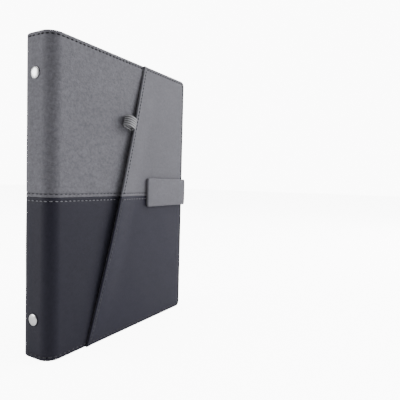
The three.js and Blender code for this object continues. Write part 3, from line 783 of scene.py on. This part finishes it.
# The strap's middle line seen from above: leaf, fold, band, fold and the end sewn to the back cover.
def strapRoute():
    right = case["left"] + case["width"]
    inset = strap["fold"] - strap["clear"]
    foldX = right - inset
    frontY = case["front"] + inset - pocket["gap"] - pocket["thick"]
    backY = case["front"] + case["depth"] - inset
    radius = strap["fold"] + strap["thick"] / 2
    leafEnd = right + strap["clear"] + strap["thick"] - strap["leaf"]
    anchorEnd = right - strap["anchor"]
    turn = np.linspace(-math.pi / 2, 0, 13)
    points = [np.array([[leafEnd, frontY - radius]])]
    points.append(np.stack([foldX + radius * np.cos(turn), frontY + radius * np.sin(turn)], -1))
    points.append(np.stack([foldX + radius * np.cos(turn + math.pi / 2),
                            backY + radius * np.sin(turn + math.pi / 2)], -1))
    points.append(np.array([[anchorEnd, backY + radius]]))
    return np.concatenate(points)


# The strap: its route carried up its width, thickened both ways, with round edges and crowned faces.
def makeStrap():
    route = strapRoute()
    lengths = np.concatenate([[0], np.cumsum(np.linalg.norm(np.diff(route, axis=0), axis=1))])
    total = lengths[-1]
    width = strap["width"]
    t = np.concatenate([strapLines, np.linspace(5, total - 5, 96), total - strapLines[::-1]])
    across = np.concatenate([strapLines, np.linspace(5, width - 5, 8), width - strapLines[::-1]])
    low, high = boxOf("strap_outer")
    radius = strap["cornerRadius"]
    inset = np.maximum(radius - np.minimum(t, total - t), 0)
    pull = radius - np.sqrt(np.maximum(radius ** 2 - inset ** 2, 0))
    t2, share = np.meshgrid(t, across / width, indexing="ij")
    pull = pull[:, None]
    z = low[2] + pull + share * (width - 2 * pull)
    toSide = np.minimum(z - low[2], high[2] - z)
    toEnd = np.minimum(t2, total - t2)
    a = np.maximum(radius - toSide, 0)
    b = np.maximum(radius - toEnd, 0)
    distance = np.where((a > 0) & (b > 0), radius - np.hypot(a, b), np.minimum(toSide, toEnd))

    def onRoute(at):
        return np.stack([np.interp(at, lengths, route[:, k]) for k in (0, 1)], -1)

    centre = onRoute(t2)
    reach = 0.4
    along = onRoute(t2 + reach) - onRoute(t2 - reach)
    along /= np.linalg.norm(along, axis=-1)[..., None]
    outward = np.stack([along[..., 1], -along[..., 0]], -1)
    thickness = strap["thick"] / 2 - roundOff(distance, strap["edgeRound"])
    crown = -strap["crown"] * smoothStep(1 - distance / strap["crownReach"])
    outerLift = (thickness + crown)[..., None]
    outer = np.concatenate([centre + outward * outerLift, z[..., None]], -1)
    inner = np.concatenate([centre - outward * (thickness - 0.02)[..., None], z[..., None]], -1)
    piece = closedSheet("strap_leather", outer, inner, slot="grey_leather")
    paint(piece, strapLitGrey)
    inset = strap["fold"] - strap["clear"]
    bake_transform(piece)
    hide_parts("strap_outer", "strap_core", "strap_inner", "strap_magnet", "strap_anchor")


makeStrap()

loop = {
    "height": 179.0,
    "width": 9.5,
    "reach": 13.5,      # out from the pocket's edge
    "rise": 8.6,        # off the cover
    "elastic": 1.0,
    "tail": 4.0,        # under the pocket
    "ribs": 5,
    "ribDepth": 0.3,
    "edgeRound": 0.45,
}


# The pen loop: a tail on the cover, half a circle and a cubic curve back to a second tail, swept across
# the band's width along the pocket's edge. Both faces swell and sink in ribs across that width.
def makePenLoop():
    lean = math.atan(pocketLean)
    thick = loop["elastic"]
    bow = (loop["rise"] - thick) / 2
    centreX = loop["reach"] - thick / 2 - bow
    turn = np.linspace(-math.pi / 2, math.pi / 2, 25)
    t = np.linspace(0, 1, 22)[1:, None]
    p0 = np.array([centreX, loop["rise"] - thick / 2])
    p1 = np.array([2.5, loop["rise"] - thick / 2])
    p2 = np.array([1.2, loop["rise"] - 2 * thick])
    p3 = np.array([0.2, 1.5 * thick])
    bezier = (1 - t) ** 3 * p0 + 3 * (1 - t) ** 2 * t * p1 + 3 * (1 - t) * t ** 2 * p2 + t ** 3 * p3
    route = np.concatenate([
        np.stack([np.linspace(-loop["tail"], centreX, 16)[:-1], np.full(15, thick / 2)], -1),
        np.stack([centreX + bow * np.cos(turn), thick / 2 + bow + bow * np.sin(turn)], -1),
        bezier,
        np.stack([np.linspace(0.1, -loop["tail"], 8)[1:], np.full(7, 1.5 * thick)], -1),
    ])
    along = np.gradient(route, axis=0)
    along /= np.linalg.norm(along, axis=1)[:, None]
    normal = np.stack([-along[:, 1], along[:, 0]], -1)
    across = np.linspace(-0.5, 0.5, 41)
    ridge = np.abs(np.sin(math.pi * (across + 0.5) * loop["ribs"]))
    edge = roundOff((0.5 - np.abs(across)) * loop["width"], loop["edgeRound"])
    halfThick = np.maximum(thick / 2 - loop["ribDepth"] * (1 - ridge) - edge, 0.04)[None, :, None]
    outward = np.array([-math.cos(lean), 0, math.sin(lean)])
    offCover = np.array([0.0, -1.0, 0.0])
    upEdge = np.array([math.sin(lean), 0, math.cos(lean)])
    height = loop["height"]
    origin = np.array([case["left"] + pocketEdgeX(height), case["front"] - pocket["gap"], height])
    sweep = (across * loop["width"])[None, :, None] * upEdge

    def place(sign):
        flat = route[:, None] + sign * normal[:, None] * halfThick
        return origin + flat[..., :1] * outward + flat[..., 1:] * offCover + sweep

    piece = closedSheet("pen_loop_elastic", place(-1), place(1), body="front_cover", slot="elastic")
    # the rib values also drive the painted shade in the grooves and the painted light on the ridges
    ribs = piece.data.attributes.new("rib", "FLOAT", "POINT")
    ribs.data.foreach_set("value", np.tile(ridge, 2 * len(route)))
    paint(piece, elasticCloth)
    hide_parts("pen_loop")


makePenLoop()
print("strap and pen loop done")


# A turned piece: a profile of radius and height, swept in a circle round a line along X.
def turned(name, profile, y, z, material, slot, body, nodes, sides=64):
    profile = np.asarray(profile, float)
    angle = np.linspace(0, 2 * math.pi, sides, endpoint=False)
    radius, out = profile[:, 0][:, None], profile[:, 1][:, None]
    verts = np.stack(np.broadcast_arrays(
        case["left"] - out, y + radius * np.cos(angle), z + radius * np.sin(angle)), -1)
    faces = closedRound(len(profile), sides)
    piece = meshFrom(name, verts.reshape(-1, 3), faces, body=body, slot=slot)
    paint(piece, material)
    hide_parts(*nodes)


rivet = {
    "radius": 4.2,
    "dome": 0.6,
    "domePower": 3.2,    # higher is flatter on top
    "rim": 0.55,
    "shank": 1.7,
    "clinch": 2.7,       # radius of the spread end behind the rail
}
for word in ("bottom", "top"):
    low, high = boxOf("rivet_" + word)
    centre = (low + high) / 2
    inner = case["left"] - high[0]
    radius, shank, clinch = rivet["radius"], rivet["shank"], rivet["clinch"]
    t = np.linspace(0.02, 1, 22)
    rise = rivet["dome"] * (1 - t ** rivet["domePower"])
    profile = np.concatenate([
        np.stack([radius * t, 0.2 + rivet["rim"] + rise], -1),
        [[radius, 0.35], [radius - 0.25, 0.05], [shank, 0.03], [shank, inner + 0.75],
         [clinch, inner + 0.7], [clinch, inner + 0.4], [shank, inner + 0.02], [0.05, inner]],
    ])
    turned("rivet_dome_" + word, profile, centre[1], centre[2], rivetSteel, "rivet_steel", "spine",
           ["rivet_" + word])

ring = {
    "wire": 2.4,
    "inner": 16.0,       # inside diameter of a closed ring
    "foot": 3.2,         # from the middle plane to where the wire enters its blade
    "tipGap": 0.3,
    "blade": 2.0,        # height of the blades over the rail's back
}


# Half rings: a straight leg out of the blade, then the ring's circle from its foot to beside its tip.
def makeRings():
    railLow, railHigh = boxOf("ring_rail")
    radius = (ring["inner"] + ring["wire"]) / 2
    centreX = railLow[0] + ring["blade"] + radius
    middleY = (railLow[1] + railHigh[1]) / 2
    for word, side in (("front", -1), ("back", 1)):
        for number in range(1, 7):
            low, high = boxOf(f"ring_{word}_{number}")
            z = (low[2] + high[2]) / 2
            start = math.asin(ring["tipGap"] / 2 / radius)
            stop = math.pi - math.asin(ring["foot"] / radius)
            angle = np.linspace(stop, start, 44)
            x = centreX + radius * np.cos(angle)
            y = middleY + side * radius * np.sin(angle)
            legX = np.linspace(low[0] + 0.1, x[0] - 0.9, 4)
            leg = np.stack([legX, np.full(4, y[0]), np.full(4, z)], -1)
            path = np.concatenate([leg, np.stack([x, y, np.full_like(x, z)], -1)])
            verts, faces = tube(path, ring["wire"] / 2 - 0.01)
            piece = meshFrom(f"ring_wire_{word}_{number}", verts, faces,
                             body="rings_" + word, slot="nickel")
            paint(piece, nickel)
            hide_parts(f"ring_{word}_{number}")


makeRings()
print("rivets and rings done")

# Carried-over CAD nodes
carried = {
    nickel: ["ring_rail", "ring_blade_front", "ring_blade_back", "lever_bottom", "lever_top",
             "lever_pin_bottom", "lever_pin_top"],
    liningCloth: ["front_lining", "back_lining", "spine_lining"],
    boardCard: ["front_board", "back_board", "spine_board"],
    magnetSteel: ["front_magnet"],
    paper: ["page_block"],
}
for material, names in carried.items():
    for name in names:
        paint(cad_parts[name], material)

# Stage, light and camera
stage = {
    "size": 6.0,         # half the floor's width, in metres
    "drop": 0.02,        # the floor lies this far under the case, in mm
    "tone": (0.93, 0.93, 0.93),
    "glow": 9.0,         # what the floor adds where the camera sees it
    "sky": 10.5,         # the sky's strength where the camera sees it
    "skyLight": 0.25,    # and as a light
}
camera = {
    "focal": 399.68,     # in pixels, for a picture that is this wide
    "frame": 400.0,
    "yaw": 60.129,
    "pitch": 2.581,
    "roll": 1.524,
    "place": (-188.60, -228.81, 131.94),    # mm, from the case's outer planes
}
lights = {
    "keyLight": {"place": (0.85, -0.75, 0.6), "target": (0.05, 0, 0.12), "size": 1.0, "power": 24.5},
    "fillLight": {"place": (-1.0, 0.95, 0.5), "target": (0, 0, 0.12), "size": 0.7, "power": 18},
    "topLight": {"place": (0.1, 0.0, 2.2), "target": (0, 0, 0), "size": 1.6, "power": 45},
}


# The floor is pale paint, with a glow that is added only where the camera sees it.
def makeFloor():
    material, nodes, links, shader = newMaterial("floorPaint")
    coords = nodes.new("ShaderNodeTexCoord").outputs["Object"]
    tone = stage["tone"]
    mottle = noiseNode(nodes, links, coords, 3)
    paler = rampNode(nodes, links, mottle, [(0.3, shade(tone, 0.995)), (0.7, tone)])
    links.new(paler, shader.inputs["Base Color"])
    shader.inputs["Roughness"].default_value = 0.9
    glow = nodes.new("ShaderNodeEmission")
    seen = nodes.new("ShaderNodeMath")
    seen.operation = "MULTIPLY"
    seen.inputs[1].default_value = stage["glow"]
    links.new(nodes.new("ShaderNodeLightPath").outputs["Is Camera Ray"], seen.inputs[0])
    links.new(seen.outputs["Value"], glow.inputs["Strength"])
    both = nodes.new("ShaderNodeAddShader")
    links.new(shader.outputs["BSDF"], both.inputs[0])
    links.new(glow.outputs["Emission"], both.inputs[1])
    links.new(both.outputs["Shader"], nodes["Material Output"].inputs["Surface"])
    size = stage["size"] / mm
    verts = np.array([[-size, -size, 0], [size, -size, 0], [size, size, 0], [-size, size, 0]])
    verts = verts - [0, 0, stage["drop"]]
    mesh = bpy.data.meshes.new("floor")
    mesh.from_pydata(verts * mm, [], [[0, 1, 2, 3]])
    floor = bpy.data.objects.new("floor", mesh)
    bpy.context.scene.collection.objects.link(floor)
    paint(floor, material)


# A square area light in metres, turned to face its target.
def makeLight(name, light):
    data = bpy.data.lights.new(name, "AREA")
    data.shape = "SQUARE"
    data.size = light["size"]
    data.energy = light["power"]
    lamp = bpy.data.objects.new(name, data)
    bpy.context.scene.collection.objects.link(lamp)
    lamp.location = light["place"]
    toward = Vector(light["target"]) - Vector(light["place"])
    lamp.rotation_euler = toward.to_track_quat("-Z", "Y").to_euler()


# The camera looks along its yaw from +Y, downwards by its pitch, and is rolled about that direction.
def makeCamera():
    yaw, pitch, roll = (math.radians(camera[key]) for key in ("yaw", "pitch", "roll"))
    level = math.cos(pitch)
    forward = np.array([math.sin(yaw) * level, math.cos(yaw) * level, -math.sin(pitch)])
    right = np.array([math.cos(yaw), -math.sin(yaw), 0])
    up = np.cross(right, forward)
    rightRolled = right * math.cos(roll) + up * math.sin(roll)
    upRolled = -right * math.sin(roll) + up * math.cos(roll)
    place = (np.array(camera["place"]) + [case["left"], case["front"], 0]) * mm
    data = bpy.data.cameras.new("camera")
    data.sensor_width = 36
    data.lens = camera["focal"] / camera["frame"] * data.sensor_width
    data.clip_start = 0.01
    view = bpy.data.objects.new("camera", data)
    matrix = Matrix.Identity(4)
    for row in range(3):
        matrix[row][0] = rightRolled[row]
        matrix[row][1] = upRolled[row]
        matrix[row][2] = -forward[row]
        matrix[row][3] = place[row]
    view.matrix_world = matrix
    bpy.context.scene.collection.objects.link(view)
    bpy.context.scene.camera = view


# The sky is bright where the camera sees it and dim as a light, as behind a product on a white sweep.
def makeSky():
    world = bpy.data.worlds.new("studio")
    bpy.context.scene.world = world
    world.use_nodes = True
    nodes, links = world.node_tree.nodes, world.node_tree.links
    amount = nodes.new("ShaderNodeMapRange")
    amount.inputs["To Min"].default_value = stage["skyLight"]
    amount.inputs["To Max"].default_value = stage["sky"]
    links.new(nodes.new("ShaderNodeLightPath").outputs["Is Camera Ray"], amount.inputs["Value"])
    nodes["Background"].inputs["Color"].default_value = (1, 1, 1, 1)
    links.new(amount.outputs["Result"], nodes["Background"].inputs["Strength"])


makeFloor()
for name, light in lights.items():
    makeLight(name, light)
makeSky()
makeCamera()
print("stage done")
